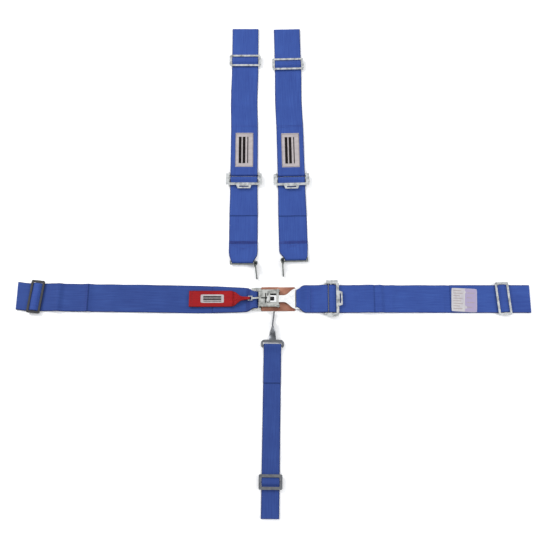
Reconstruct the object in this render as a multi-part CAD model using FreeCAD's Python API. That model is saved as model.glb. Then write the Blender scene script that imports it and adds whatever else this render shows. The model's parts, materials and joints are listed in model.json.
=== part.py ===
import FreeCAD, Part

# A five-point latch-and-link racing harness, laid out flat on a level surface.
# +X runs along the lap belt, +Y towards the shoulder belt anchors, +Z up. Millimetres.
# Each belt is drawn in its own strip frame: s along the belt, t to the left of s, z up.

import math
import os

Vector = FreeCAD.Vector

# Webbing
WIDE_WEB = 76.0
NARROW_WEB = 46.4
WEB = 2.0
LOWER_LAYER = 1.0
UPPER_LAYER = 3.3
LAYER_TOP = UPPER_LAYER + WEB / 2

# Places of the strip frames: x, y, heading in degrees
LEFT_SHOULDER = (-86.2, 294.0, -90.0)
RIGHT_SHOULDER = (45.2, 293.0, -88.65)
RIGHT_LAP = (131.6, -67.0, 0.0)
LEFT_LAP = (-56.0, -70.4, 179.17)
CROTCH = (-6.6, -194.5, -90.76)
LATCH_Y = -67.7
RED_STRAP = (-70.75, LATCH_Y, 180.0)

# Shoulder belts, along s from the adjuster's rear edge
SHOULDER_FOLD = -452.0
LEFT_SHOULDER_SLIDER = -346.0
RIGHT_SHOULDER_SLIDER = -336.0
SHOULDER_TAIL_END = 126.0
LEFT_TONGUE_RAIL = 257.4
RIGHT_TONGUE_RAIL = 248.5
SEWN_BACK = 58.0
SHOULDER_LABEL = (101.0, 50.0)
SHOULDER_LABEL_AT = -71.5

# Lap belts
LEFT_LAP_FOLD = 635.0
LEFT_LAP_TAIL_END = 444.0
LEFT_LAP_SLIDER = (583.0, 5.4)
RIGHT_LAP_FOLD = 551.0
RIGHT_LAP_TAIL_END = 338.0
RIGHT_LAP_SLIDER = (478.0, 3.9)
RIGHT_LAP_FREE_END = 133.0
LAP_LABEL = (68.0, 64.0)
LAP_LABEL_AT = (374.0, -3.5)

# Crotch belt
CROTCH_FOLD = 437.0
CROTCH_SEWN_END = 97.5
CROTCH_SLIDER = (347.5, 0.0)

# Tilt-lock adjuster, along s from its rear edge
PIVOT_S = 5.0
PIVOT_Z = 5.6
PIVOT_RADIUS = 3.0
LOOP_GAP = 0.4
LOCK_S = 18.0
LOCK_Z = 6.0
LOCK_RADIUS = 3.2
FRAME_LENGTH = 39.0
CHEEK_IN = 40.0
CHEEK_OUT = 42.5
EAR_OUT = 49.4
FRAME_TOP = 12.0
BAR_FLOOR = 9.6
TAB_LENGTH = 9.5

# Three-bar slides
SLIDE_PLATE = 3.0
SLIDE_FLOOR = 6.6
SLIDE_WEB = 1.8
WIDE_SLIDE = (36.0, 90.0, 5.5, 6.0, 6.0)
CROTCH_SLIDE = (38.0, 60.0, 7.5, 6.0, 6.0)

# Tongues of the shoulder and crotch belts
TONGUE_THICK = 3.4
TONGUE_TALL = 20.0
RAIL_Z = 6.2
RAIL_HALF = 2.5
RAIL_LOOP = 4.7
TONGUE_TURN = 4.5
BLADE_Z = 10.3
TIP_CLIP = 5.0
CROTCH_NECK = 18.0
LEFT_TONGUE = (-32.5, 29.4, 4.0)
RIGHT_TONGUE = (-35.7, 26.4, -1.2)
LEFT_LOOP_HALVES = (26.5, 30.0)
RIGHT_LOOP_HALVES = (23.5, 33.4)

# Latch
BASE_HALF = 23.5
WALL = 2.0
WALL_TOP = 16.2
LEVER_PIVOT = (8.0, 13.5)
PIN_RADIUS = 2.0
COVER_FLOOR = 16.5
COVER_THICK = 2.0
LINK_FLOOR = 7.0
LINK_THICK = 2.5
PAD_THICK = 2.5


def place(shape, frame):
    """Turn and move a shape from a strip frame (x, y, heading) to the layout."""
    x, y, heading = frame
    moved = shape.copy()
    moved.rotate(Vector(0, 0, 0), Vector(0, 0, 1), heading)
    moved.translate(Vector(x, y, 0))
    return moved


def box(x0, x1, y0, y1, z0, z1):
    return Part.makeBox(x1 - x0, y1 - y0, z1 - z0, Vector(x0, y0, z0))


def bar(radius, s, z, half):
    """A round bar through (s, z), lying across the strip."""
    return Part.makeCylinder(radius, 2 * half, Vector(s, -half, z), Vector(0, 1, 0))


def arc(s, z, radius, start, end, steps=12):
    """Points of an arc in the s-z plane, with its angles in degrees."""
    turns = [math.radians(start + (end - start) * i / steps) for i in range(steps + 1)]
    return [(s + radius * math.cos(a), z + radius * math.sin(a)) for a in turns]


def offset(path, distance):
    """The path moved sideways, to its left, with mitred corners."""
    moved = []
    for i, (s, z) in enumerate(path):
        before = path[max(i - 1, 0)]
        after = path[min(i + 1, len(path) - 1)]
        normals = []
        for (s0, z0), (s1, z1) in ((before, (s, z)), ((s, z), after)):
            length = math.hypot(s1 - s0, z1 - z0)
            if length > 0:
                normals.append(((z0 - z1) / length, (s1 - s0) / length))
        ns = sum(n[0] for n in normals) / len(normals)
        nz = sum(n[1] for n in normals) / len(normals)
        square = ns * ns + nz * nz
        moved.append((s + distance * ns / square, z + distance * nz / square))
    return moved


def prism_across(outline, half):
    """A closed s-z outline made solid across the strip, from t = -half to half."""
    points = [Vector(s, -half, z) for s, z in outline]
    face = Part.Face(Part.makePolygon(points + points[:1]))
    return face.extrude(Vector(0, 2 * half, 0))


def prism_up(outline, floor, height):
    """A closed s-t outline made solid upwards."""
    points = [Vector(s, t, floor) for s, t in outline]
    face = Part.Face(Part.makePolygon(points + points[:1]))
    return face.extrude(Vector(0, 0, height))


def mirrored(half_outline):
    """A closed outline from the half with t above zero."""
    return half_outline + [(s, -t) for s, t in reversed(half_outline)]


def ribbon(path, width, thick=WEB, plan=None):
    """Webbing that follows an s-z path, cut to a plan outline where it tapers."""
    outline = offset(path, thick / 2) + list(reversed(offset(path, -thick / 2)))
    solid = prism_across(outline, width / 2)
    if plan:
        solid = solid.common(prism_up(plan, -5, 60))
    return solid


def fold(s_end, upper, lower, side):
    """The open fold at the end of an anchor loop; side is 1 or -1 along s."""
    radius = (upper + 1.2 - lower) / 2
    centre = s_end - side * (radius + WEB / 2)
    if side > 0:
        turn = arc(centre, lower + radius, radius, 90, -90)
    else:
        turn = arc(centre, lower + radius, radius, 90, 270)
    return [(centre - side * 12, upper)] + turn


def rounded_plate(length, width, corner, floor, thick):
    """A flat plate centred on s and t, with rounded corners."""
    plate = box(-length / 2, length / 2, -width / 2, width / 2, floor, floor + thick)
    uprights = [
        e for e in plate.Edges
        if abs(e.Vertexes[0].Z - e.Vertexes[1].Z) > thick / 2
    ]
    return plate.makeFillet(corner, uprights)


def three_bar_slide(sizes):
    """A slide plate with two slots, and the belt's pass over its middle bar."""
    length, width, end_bar, side_bar, middle = sizes
    plate = rounded_plate(length, width, 4.0, SLIDE_FLOOR, SLIDE_PLATE)
    inner = width / 2 - side_bar
    for side in (-1, 1):
        near = side * middle / 2
        far = side * (length / 2 - end_bar)
        low, high = sorted((near, far))
        plate = plate.cut(box(low, high, -inner, inner, 0, 20))
    under = SLIDE_FLOOR - 0.3 - SLIDE_WEB / 2
    over = SLIDE_FLOOR + SLIDE_PLATE + 0.1 + SLIDE_WEB / 2
    edge = length / 2 - end_bar
    half = [(edge + 4.5, under), (edge, under), (edge - 3.5, under + 1.8), (4.5, over)]
    path = [(-s, z) for s, z in half] + list(reversed(half))
    return plate, path


def slide_nodes(name, frame, at, turn, sizes, web_width):
    plate, path = three_bar_slide(sizes)
    web = ribbon(path, web_width, SLIDE_WEB)
    for solid in (plate, web):
        solid.rotate(Vector(0, 0, 0), Vector(0, 0, 1), turn)
        solid.translate(Vector(at, 0, 0))
    return {
        name + "_slide": place(plate, frame),
        name + "_slide_webbing": place(web, frame),
    }


def adjuster_frame():
    """Cheeks with ears, rear bar, front crossbar and release tab, as one pressing."""
    length = FRAME_LENGTH
    solid = bar(PIVOT_RADIUS, PIVOT_S, PIVOT_Z, CHEEK_OUT)
    for side in (-1, 1):
        t0, t1 = sorted((side * CHEEK_IN, side * CHEEK_OUT))
        cheek = box(PIVOT_S, length, t0, t1, 1.0, FRAME_TOP)
        round_end = Part.makeCylinder(5.0, t1 - t0, Vector(PIVOT_S, t0, PIVOT_Z), Vector(0, 1, 0))
        e0, e1 = sorted((side * CHEEK_IN, side * EAR_OUT))
        ear = box(PIVOT_S, length - 2, e0, e1, FRAME_TOP - 2.2, FRAME_TOP)
        solid = solid.fuse([cheek, round_end, ear])
    crossbar = box(length - 7, length, -CHEEK_OUT, CHEEK_OUT, BAR_FLOOR, FRAME_TOP)
    end = length + TAB_LENGTH
    tab = prism_up(mirrored([(length - 3, 22.0), (end, 17.5)]), BAR_FLOOR, 1.6)
    tab = tab.cut(box(length + 2, length + 5.5, -13, 13, 0, 30))
    solid = solid.fuse([crossbar, tab])
    lock_hole = bar(LOCK_RADIUS, LOCK_S, LOCK_Z, 60)
    return solid.cut(lock_hole).removeSplitter()


def lock_bar():
    """The loose bar that grips the belt, with a flat along its top."""
    solid = bar(LOCK_RADIUS, LOCK_S, LOCK_Z, CHEEK_OUT + 1.5)
    flat = box(LOCK_S - 5, LOCK_S + 5, -CHEEK_IN, CHEEK_IN, LOCK_Z + 2.6, LOCK_Z + 5)
    return solid.cut(flat)


def roll_path():
    turn = arc(LOCK_S, LOCK_Z, LOCK_RADIUS + 0.3 + WEB / 2, -90, -270, 16)
    return [(24.5, 1.2)] + turn + [(22.5, 9.7), (26.0, 7.7)]


def free_tail_path(end):
    return [(28.0, 7.2), (36.0, 5.2), (50.0, 3.5), (60.0, 3.2), (end, 3.2)]


def rear_loop(towards):
    """Webbing round the adjuster's rear bar; towards is its upper layer's next point."""
    turn = arc(PIVOT_S, PIVOT_Z, PIVOT_RADIUS + LOOP_GAP + WEB / 2, -90, 90)
    return turn + [(-4.0, 8.8), (-14.0, 4.7), (-20.0, UPPER_LAYER)] + towards


def adjuster_nodes(name, frame, tail_end):
    web = WIDE_WEB
    return {
        name + "_adjuster_frame": place(adjuster_frame(), frame),
        name + "_adjuster_lock_bar": place(lock_bar(), frame),
        name + "_adjuster_webbing_roll": place(ribbon(roll_path(), web), frame),
        name + "_adjusting_tail": place(ribbon(free_tail_path(tail_end), web), frame),
    }


def twisted_strip(sections):
    """A strip through sections of (centre, direction across, width, thickness direction)."""
    wires = []
    for centre, across, width, through in sections:
        a = across * (width / 2)
        b = through * (TONGUE_THICK / 2 - 0.05)
        corners = [centre + a + b, centre + a - b, centre - a - b, centre - a + b]
        wires.append(Part.makePolygon(corners + corners[:1]))
    strip = Part.makeLoft(wires, True, True)
    if strip.Volume < 0:
        strip.reverse()
    return strip


def slotted_tip(strip, s1, t):
    """The blade's end at s1 with its corners clipped and its slot cut."""
    slot = box(s1 - 24, s1 - 5, t - 9, t + 9, BLADE_Z - 4.5, BLADE_Z + 4.5)
    strip = strip.cut(slot)
    clip = TIP_CLIP
    for way in (-1, 1):
        edge = BLADE_Z - way * TONGUE_TALL / 2
        corner = prism_across([(s1 - 2 * clip, edge - way * clip), (s1 + clip, edge - way * clip),
                               (s1 + clip, edge + way * 2 * clip)], 12.0)
        corner.translate(Vector(0, t, 0))
        strip = strip.cut(corner)
    return strip


def shoulder_tongue(rail_s, side, far_end, elbow_t, lean):
    """A flat rail inside the belt loop that turns and twists into an upright blade."""
    low, high = RAIL_Z - TONGUE_THICK / 2, RAIL_Z + TONGUE_THICK / 2
    rail = box(rail_s - RAIL_HALF, rail_s + RAIL_HALF, far_end, elbow_t + 0.1, low, high)
    # A second bar lies just past the loop, so that the belt passes through a closed slot.
    outer_bar = box(rail_s + 6.2, rail_s + 9.0, far_end - 1.0, elbow_t + TONGUE_TURN, low + 0.1, high - 0.1)
    far_link = box(rail_s - RAIL_HALF, rail_s + 9.0, far_end - 3.0, far_end + 0.1, low + 0.05, high - 0.05)
    sections = []
    steps = 10
    turn_share = 0.5
    for i in range(steps + 1):
        u = i / steps
        bend = math.radians(90 * min(u / turn_share, 1))
        past = max(u - turn_share, 0) * 24
        s = rail_s + TONGUE_TURN * (1 - math.cos(bend)) + past
        t = elbow_t + TONGUE_TURN * math.sin(bend)
        twist = math.radians(90 * u)
        level = Vector(-math.cos(bend), math.sin(bend), 0)
        up = Vector(0, 0, 1)
        across = level * math.cos(twist) + up * math.sin(twist)
        through = level * -math.sin(twist) + up * math.cos(twist)
        width = 5 + (TONGUE_TALL - 5) * u
        centre = Vector(s, t, RAIL_Z + (BLADE_Z - RAIL_Z) * math.sin(twist))
        sections.append((centre, across, width, through))
    tip_s = rail_s + 51.0
    tip_t = elbow_t + TONGUE_TURN + lean
    sections.append((Vector(tip_s, tip_t, BLADE_Z), across, TONGUE_TALL, through))
    blade = slotted_tip(twisted_strip(sections), tip_s, tip_t)
    tongue = rail.fuse([outer_bar, far_link, blade]).removeSplitter()
    if side < 0:
        tongue = tongue.mirror(Vector(0, 0, 0), Vector(0, 1, 0))
    return tongue


def loop_side(end, tip):
    """One edge of a belt that draws in to the half width tip at its loop's end."""
    half = WIDE_WEB / 2
    return [(0, half), (end - 24, half), (end - 12, tip + 4.2), (end - 6, tip + 1.2), (end, tip)]


def shoulder_belt_nodes(name, frame, slider_at, rail_s, side, tongue, loop_halves):
    upper = [(-150.0, LOWER_LAYER), (-20.0, LOWER_LAYER)] + rear_loop([])
    upper += [(-150.0, UPPER_LAYER), (-172.0, LOWER_LAYER), (-240.0, LOWER_LAYER)]
    upper += [(-262.0, UPPER_LAYER)] + fold(SHOULDER_FOLD, UPPER_LAYER, LOWER_LAYER, -1)
    upper += [(-264.0, LOWER_LAYER)]
    # The lower belt runs from the adjuster to the tongue's rail and is sewn back on itself.
    lower = [(27.0, LOWER_LAYER), (rail_s - 18, LOWER_LAYER)]
    lower += arc(rail_s, RAIL_Z, RAIL_LOOP, -90, 90)
    lower += [(rail_s - 10, 8.2), (rail_s - 24, UPPER_LAYER), (rail_s - SEWN_BACK, UPPER_LAYER)]
    near, far = (loop_side(rail_s + 7, tip) for tip in loop_halves)
    left, right = (near, far) if side > 0 else (far, near)
    outline = left + [(s, -t) for s, t in reversed(right)]
    label_length, label_width = SHOULDER_LABEL
    label = box(-label_length / 2, label_length / 2, -label_width / 2, label_width / 2,
                LAYER_TOP + 0.05, LAYER_TOP + 0.55)
    label.translate(Vector(SHOULDER_LABEL_AT, 0, 0))
    nodes = {
        name + "_upper_strap": place(ribbon(upper, WIDE_WEB), frame),
        name + "_lower_strap": place(ribbon(lower, WIDE_WEB, WEB, outline), frame),
        name + "_label": place(label, frame),
        name + "_tongue": place(shoulder_tongue(rail_s, side, *tongue), frame),
    }
    nodes.update(adjuster_nodes(name, frame, SHOULDER_TAIL_END))
    nodes.update(slide_nodes(name, frame, slider_at, 0, WIDE_SLIDE, WIDE_WEB))
    return nodes


def left_lap_nodes():
    half = WIDE_WEB / 2
    path = [(110.0, UPPER_LAYER), (30.0, UPPER_LAYER), (14.0, 8.0), (6.0, 10.1)]
    path += arc(-6.0, 6.2, 4.2, 90, 270)
    path += [(8.0, 1.4), (20.0, LOWER_LAYER)]
    turn = fold(LEFT_LAP_FOLD, UPPER_LAYER, LOWER_LAYER, 1)
    path += list(reversed(turn)) + [(LEFT_LAP_TAIL_END, UPPER_LAYER)]
    plan = [(-20, 22.6), (2, 23.0), (9, 28.0), (18, 32.5), (49, 34.6), (130, 37.6), (150, half),
            (900, half)]
    at, lean = LEFT_LAP_SLIDER
    nodes = {"left_lap_strap": place(ribbon(path, WIDE_WEB, WEB, mirrored(plan)), LEFT_LAP)}
    nodes.update(slide_nodes("left_lap", LEFT_LAP, at, -lean, WIDE_SLIDE, WIDE_WEB))
    return nodes


def right_lap_nodes():
    half = WIDE_WEB / 2
    link_s = -70.0
    path = [(-37.6, UPPER_LAYER), (-48.0, UPPER_LAYER), (-58.0, 8.4), (-65.0, 12.0)]
    path += arc(link_s, 8.2, 4.2, 90, 270)
    path += [(-60.0, 2.2), (-48.0, LOWER_LAYER), (-8.0, LOWER_LAYER)]
    path += rear_loop([(-37.2, UPPER_LAYER)])
    plan = [(-90, 24.0), (-71, 24.0), (-66, 28.0), (-54, half), (900, half)]
    anchor = [(27.0, LOWER_LAYER)] + list(reversed(fold(RIGHT_LAP_FOLD, UPPER_LAYER, LOWER_LAYER, 1)))
    anchor += [(RIGHT_LAP_TAIL_END, UPPER_LAYER)]
    label_length, label_width = LAP_LABEL
    label = box(-label_length / 2, label_length / 2, -label_width / 2, label_width / 2,
                LAYER_TOP + 0.05, LAYER_TOP + 0.55)
    label.rotate(Vector(0, 0, 0), Vector(0, 0, 1), -3)
    label.translate(Vector(*LAP_LABEL_AT, 0))
    at, lean = RIGHT_LAP_SLIDER
    nodes = {
        "right_lap_link_strap": place(ribbon(path, WIDE_WEB, WEB, mirrored(plan)), RIGHT_LAP),
        "right_lap_anchor_strap": place(ribbon(anchor, WIDE_WEB), RIGHT_LAP),
        "right_lap_label": place(label, RIGHT_LAP),
    }
    nodes.update(adjuster_nodes("right_lap", RIGHT_LAP, RIGHT_LAP_FREE_END))
    nodes.update(slide_nodes("right_lap", RIGHT_LAP, at, lean, WIDE_SLIDE, WIDE_WEB))
    return nodes


def link_plate():
    """The finger, flared out to a bar that the right lap belt loops round."""
    outline = [(-21.0, 6.0), (-18.0, 9.25), (24.0, 9.25)]
    for i in range(1, 9):
        u = i / 8
        ease = u * u * (3 - 2 * u)
        outline.append((24.0 + 30.0 * u, 9.25 + 18.25 * ease))
    outline.append((66.0, 27.5))
    plate = prism_up(mirrored(outline), LINK_FLOOR, LINK_THICK)
    hook_slot = box(-17.0, -3.0, -5.5, 5.5, 0, 30)
    belt_slot = box(53.8, 59.4, -24.6, 24.6, 0, 30)
    plate = plate.cut(hook_slot).cut(belt_slot)
    plate.translate(Vector(0, LATCH_Y, 0))
    return plate


def latch_base():
    """A channel that takes the link's finger, with a winged belt bar at its left end."""
    floor = box(-42, 12, -BASE_HALF, BASE_HALF, 2.7, 4.7)
    solid = floor.fuse(box(-62, -38, -30.5, 30.5, 4.6, 7.2))
    for side in (-1, 1):
        t0, t1 = sorted((side * (BASE_HALF - WALL), side * BASE_HALF))
        solid = solid.fuse(box(-36, 13, t0, t1, 4.6, WALL_TOP))
    solid = solid.cut(box(-52.5, -43.5, -25.5, 25.5, 0, 30))
    pin_hole = bar(PIN_RADIUS, LEVER_PIVOT[0], LEVER_PIVOT[1], 60)
    return solid.cut(pin_hole).removeSplitter()


def lever_pin():
    x, z = LEVER_PIVOT
    solid = bar(PIN_RADIUS, x, z, BASE_HALF)
    for side in (-1, 1):
        start = side * BASE_HALF
        head = Part.makeCylinder(3.2, 1.4, Vector(x, start, z), Vector(0, side, 0))
        solid = solid.fuse(head)
    return solid


def latch_lever():
    """Cover with its windows, lugs round the pin, and a neck to the pull-strap ring."""
    top = COVER_FLOOR + COVER_THICK
    cover = box(-43, 10, -22.5, 22.5, COVER_FLOOR, top)
    # Windows: one over the hook, and two cross slots joined by a long one.
    cover = cover.cut(box(-12.8, 4, -12, 12, 0, 30))
    cover = cover.cut(box(-26.0, -23.2, -13.5, 13.5, 0, 30))
    cover = cover.cut(box(-20.2, -17.6, -13.5, 13.5, 0, 30))
    cover = cover.cut(box(-37.0, -18.0, -1.6, 1.6, 0, 30))
    # The corners over the pivot pass inside the base's walls as the lever lifts.
    for side in (-1, 1):
        t0, t1 = sorted((side * 21.1, side * 23.0))
        cover = cover.cut(box(3.5, 11, t0, t1, 0, 30))
    x, z = LEVER_PIVOT
    for side in (-1, 1):
        t0, t1 = sorted((side * 17.0, side * 20.0))
        lug = box(x - 5, x + 4, t0, t1, z, COVER_FLOOR + 0.5)
        boss = Part.makeCylinder(4.0, t1 - t0, Vector(x, t0, z), Vector(0, 1, 0))
        cover = cover.fuse([lug, boss])
    cover = cover.cut(bar(PIN_RADIUS + 0.08, x, z, 60))
    neck_profile = [(-40, COVER_FLOOR), (-40, top), (-45, top), (-59, 15.0), (-61, 15.0), (-61, 12.5),
                    (-59, 12.5), (-45, COVER_FLOOR)]
    neck = prism_across(neck_profile, 2.2)
    ring = box(-72, -60, -6.4, 6.4, 12.5, 15.0).cut(box(-69.5, -63, -4.4, 4.4, 0, 30))
    return cover.fuse([neck, ring]).removeSplitter()


def latch_hook():
    """The hook under the cover that holds the link through its slot."""
    outline = [(-2, COVER_FLOOR), (-16, COVER_FLOOR), (-14, 13.5), (-11, 11.5), (-10.5, 5.6),
               (-7, 5.2), (-4.8, 8.0), (-4.8, 12.0)]
    beam = box(-16.9, -13.5, -16, 16, COVER_FLOOR - 2.2, COVER_FLOOR)
    return prism_across(outline, 3.0).fuse(beam).removeSplitter()


def latch_spring():
    """A bowed leaf that lifts the lever's cover."""
    path = [(-37.5, 5.1)] + arc(-29.5, 5.1, 7.0, 180, 0, 16) + [(-21.6, 5.1)]
    return ribbon(path, 12.0, 0.6)


def pull_strap():
    """A folded strap, gathered to a narrow loop round the lever's ring."""
    path = [(38.0, 7.8), (14.0, 14.0), (3.0, 16.6)]
    path += arc(0, 13.75, 3.0, 90, 270)
    path += [(3.0, 10.7), (14.0, 8.9), (32.0, 5.7), (157.0, 5.6)]
    path += arc(157.0, 6.65, 1.05, -90, 90) + [(42.0, 7.7)]
    plan = [(-8, 3.9), (6, 3.9), (20, 5.5), (28, 12.0), (35, 18.5), (44, 22.2), (400, 22.2)]
    return ribbon(path, 44.4, 1.8, mirrored(plan))


def latch_nodes():
    def settle(solid):
        solid.translate(Vector(0, LATCH_Y, 0))
        return solid

    label = box(65.6, 127.7, -11.5, 11.5, 8.65, 9.1)
    pad = rounded_plate(92.0, 66.0, 3.0, 0, PAD_THICK)
    pad.translate(Vector(8.4, 0.6, 0))
    return {
        "latch_base": settle(latch_base()),
        "latch_lever": settle(latch_lever()),
        "latch_hook": settle(latch_hook()),
        "latch_lever_pin": settle(lever_pin()),
        "latch_spring": settle(latch_spring()),
        "link_plate": link_plate(),
        "leather_pad": settle(pad),
        "red_pull_strap": place(pull_strap(), RED_STRAP),
        "red_pull_strap_label": place(label, RED_STRAP),
    }


def crotch_tongue():
    """A slotted plate that twists into an upright blade above the crotch belt."""
    plate = rounded_plate(23.2, 61.0, 10.0, 6.0 - TONGUE_THICK / 2, TONGUE_THICK)
    plate.translate(Vector(-4.6, 0, 0))
    plate = plate.cut(box(-9.4, -2.5, -25.0, 25.0, 0, 20))
    # The lower bar stays narrow enough to turn inside the belt's loop.
    plate = plate.cut(box(2.5, 20, -25.5, 25.5, 0, 20))
    start, end, tip = -11.5, -54.5, -90.5
    sections = []
    steps = 10
    for i in range(steps + 1):
        u = i / steps
        twist = math.radians(90 * u)
        level = Vector(0, 1, 0)
        up = Vector(0, 0, 1)
        across = level * math.cos(twist) + up * math.sin(twist)
        through = level * -math.sin(twist) + up * math.cos(twist)
        rise = (BLADE_Z - 6.0) * math.sin(twist)
        centre = Vector(start + (end - start) * u, -0.8 * u, 6.0 + rise)
        width = CROTCH_NECK + (TONGUE_TALL - CROTCH_NECK) * u
        sections.append((centre, across, width, through))
    sections.append((Vector(tip, 3.3, BLADE_Z), across, TONGUE_TALL, through))
    # The tip is cut with the strip turned round, so that it points along s.
    blade = twisted_strip(sections)
    blade.rotate(Vector(0, 0, 0), Vector(0, 0, 1), 180)
    blade = slotted_tip(blade, -tip, -3.3)
    blade.rotate(Vector(0, 0, 0), Vector(0, 0, 1), 180)
    return plate.fuse(blade).removeSplitter()


def crotch_nodes():
    path = [(CROTCH_SEWN_END, UPPER_LAYER), (22.0, UPPER_LAYER), (8.0, 8.2)]
    path += arc(0, 6.0, 4.5, 90, 270)
    path += [(14.0, LOWER_LAYER), (225.0, LOWER_LAYER), (247.0, UPPER_LAYER)]
    path += fold(CROTCH_FOLD, UPPER_LAYER, LOWER_LAYER, 1) + [(249.0, LOWER_LAYER)]
    at, lean = CROTCH_SLIDER
    nodes = {
        "crotch_strap": place(ribbon(path, NARROW_WEB), CROTCH),
        "crotch_tongue": place(crotch_tongue(), CROTCH),
    }
    nodes.update(slide_nodes("crotch", CROTCH, at, lean, CROTCH_SLIDE, NARROW_WEB))
    return nodes


def build():
    nodes = {}
    nodes.update(shoulder_belt_nodes(
        "left_shoulder", LEFT_SHOULDER, LEFT_SHOULDER_SLIDER, LEFT_TONGUE_RAIL, 1, LEFT_TONGUE,
        LEFT_LOOP_HALVES))
    nodes.update(shoulder_belt_nodes(
        "right_shoulder", RIGHT_SHOULDER, RIGHT_SHOULDER_SLIDER, RIGHT_TONGUE_RAIL, -1, RIGHT_TONGUE,
        RIGHT_LOOP_HALVES))
    nodes.update(left_lap_nodes())
    nodes.update(right_lap_nodes())
    nodes.update(latch_nodes())
    nodes.update(crotch_nodes())
    return nodes


def main():
    os.makedirs("parts", exist_ok=True)
    nodes = build()
    whole = Part.makeCompound(list(nodes.values())).BoundBox
    # The origin is the bottom centre of the whole harness.
    shift = Vector(-whole.Center.x, -whole.Center.y, -whole.ZMin)
    print("shift", shift, "size", whole.XLength, whole.YLength, whole.ZLength)
    for name, shape in nodes.items():
        shape.translate(shift)
        if not shape.isValid():
            print("not valid:", name)
        print(name, len(shape.Solids), round(shape.Volume))
        shape.exportStep("parts/" + name + ".step")


main()
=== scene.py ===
import json
import math

import bmesh
import bpy
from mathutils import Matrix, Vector, noise


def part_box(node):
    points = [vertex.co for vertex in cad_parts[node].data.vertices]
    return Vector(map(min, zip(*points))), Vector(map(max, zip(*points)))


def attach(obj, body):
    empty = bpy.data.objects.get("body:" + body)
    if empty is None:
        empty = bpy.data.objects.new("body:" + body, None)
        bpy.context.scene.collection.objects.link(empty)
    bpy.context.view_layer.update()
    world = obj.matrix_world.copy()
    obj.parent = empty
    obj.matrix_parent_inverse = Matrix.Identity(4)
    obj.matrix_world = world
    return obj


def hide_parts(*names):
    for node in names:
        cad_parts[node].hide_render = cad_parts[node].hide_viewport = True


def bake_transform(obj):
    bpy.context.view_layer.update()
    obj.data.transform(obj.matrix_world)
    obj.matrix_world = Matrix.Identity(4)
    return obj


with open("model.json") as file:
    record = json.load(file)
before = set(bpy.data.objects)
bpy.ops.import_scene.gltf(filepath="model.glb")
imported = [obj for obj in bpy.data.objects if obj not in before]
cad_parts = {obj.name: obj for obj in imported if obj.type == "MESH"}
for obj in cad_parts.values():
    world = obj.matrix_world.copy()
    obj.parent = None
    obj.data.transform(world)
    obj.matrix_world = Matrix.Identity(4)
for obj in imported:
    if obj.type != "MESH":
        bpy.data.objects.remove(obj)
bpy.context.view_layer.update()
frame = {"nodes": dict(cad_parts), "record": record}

# ---------------------------------------------------------------------------
# Driving sizes, in millimetres along each belt's own strip frame:
# s along the belt, t across it to the left of s, z up from the surface.
# ---------------------------------------------------------------------------
MM = 0.001
WIDE_HALF = 38.0
NARROW_HALF = 23.2
RED_HALF = 22.2
WEB = 2.0
LOW = 1.0
TOP = 3.3
ON_TOP = 4.4
PIVOT = (5.0, 5.6)
LOCK = (18.0, 6.0)
BAR_WRAP = 4.4
LOCK_WRAP = 4.5
RAIL_Z = 6.2
RAIL_WRAP = 4.7

# Open folds, slides, free ends and tongue rails, by their place along each belt
SHOULDER_FOLD = -452.0
SHOULDER_TAIL_END = 126.0
LEFT_SHOULDER_SLIDER, RIGHT_SHOULDER_SLIDER = -346.0, -336.0
LEFT_TONGUE_RAIL, RIGHT_TONGUE_RAIL = 257.4, 248.5
LEFT_LAP_FOLD, LEFT_LAP_END, LEFT_LAP_SLIDER = 635.0, 444.0, 583.0
RIGHT_LAP_FOLD, RIGHT_LAP_END, RIGHT_LAP_SLIDER = 551.0, 338.0, 478.0
RIGHT_LAP_TAIL_END = 133.0
CROTCH_FOLD, CROTCH_SEWN_END, CROTCH_SLIDER = 437.0, 97.5, 347.5

# The left lap belt's zero point, seen from the link's swivel
LATCH_LOOP = Vector((-48.5, -2.7, 0))

# A slide's woven pass: its half length at the foot, then its foot and top heights
WIDE_PASS = (12.5, 5.4, 10.6)
NARROW_PASS = (11.5, 5.4, 10.6)

# How finely webbing is drawn: the step along it and the strips across it
STEP = 2.6
ACROSS = 18


# ---------------------------------------------------------------------------
# Strip frames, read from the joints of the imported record
# ---------------------------------------------------------------------------
JOINTS = {j["name"]: j for j in frame["record"]["behaviour"]["joints"]}


class Strip:
    """A belt's own frame: an origin on the surface and a direction along the belt."""

    def __init__(self, origin, along):
        self.along = Vector((along[0], along[1], 0)).normalized()
        self.left = Vector((-self.along.y, self.along.x, 0))
        self.origin = Vector((origin[0], origin[1], 0))

    def point(self, s, t, z):
        flat = self.origin + (self.along * s + self.left * t) * MM
        return Vector((flat.x, flat.y, z * MM))


def strip_at(joint_name, travel_name, s):
    """The strip whose joint lies at s, and whose slider travels along it."""
    along = Vector(JOINTS[travel_name]["axis"])
    at = Vector(JOINTS[joint_name]["pos_m"])
    return Strip(at - along * s * MM, along)


LEFT_SHOULDER = strip_at("left_shoulder_adjuster_tilt", "left_shoulder_slider_travel", PIVOT[0])
RIGHT_SHOULDER = strip_at("right_shoulder_adjuster_tilt", "right_shoulder_slider_travel", PIVOT[0])
RIGHT_LAP = strip_at("right_lap_adjuster_tilt", "right_lap_slider_travel", PIVOT[0])
CROTCH = strip_at("crotch_tongue_swing", "crotch_slider_travel", 0.0)
LATCH_AT = Vector(JOINTS["latch_lever_hinge"]["pos_m"])
RED = Strip(JOINTS["pull_strap_hinge"]["pos_m"], (-1, 0))
LEFT_LAP = Strip(
    Vector(JOINTS["link_swivel"]["pos_m"]) + LATCH_LOOP * MM,
    JOINTS["left_lap_slider_travel"]["axis"],
)


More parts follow.
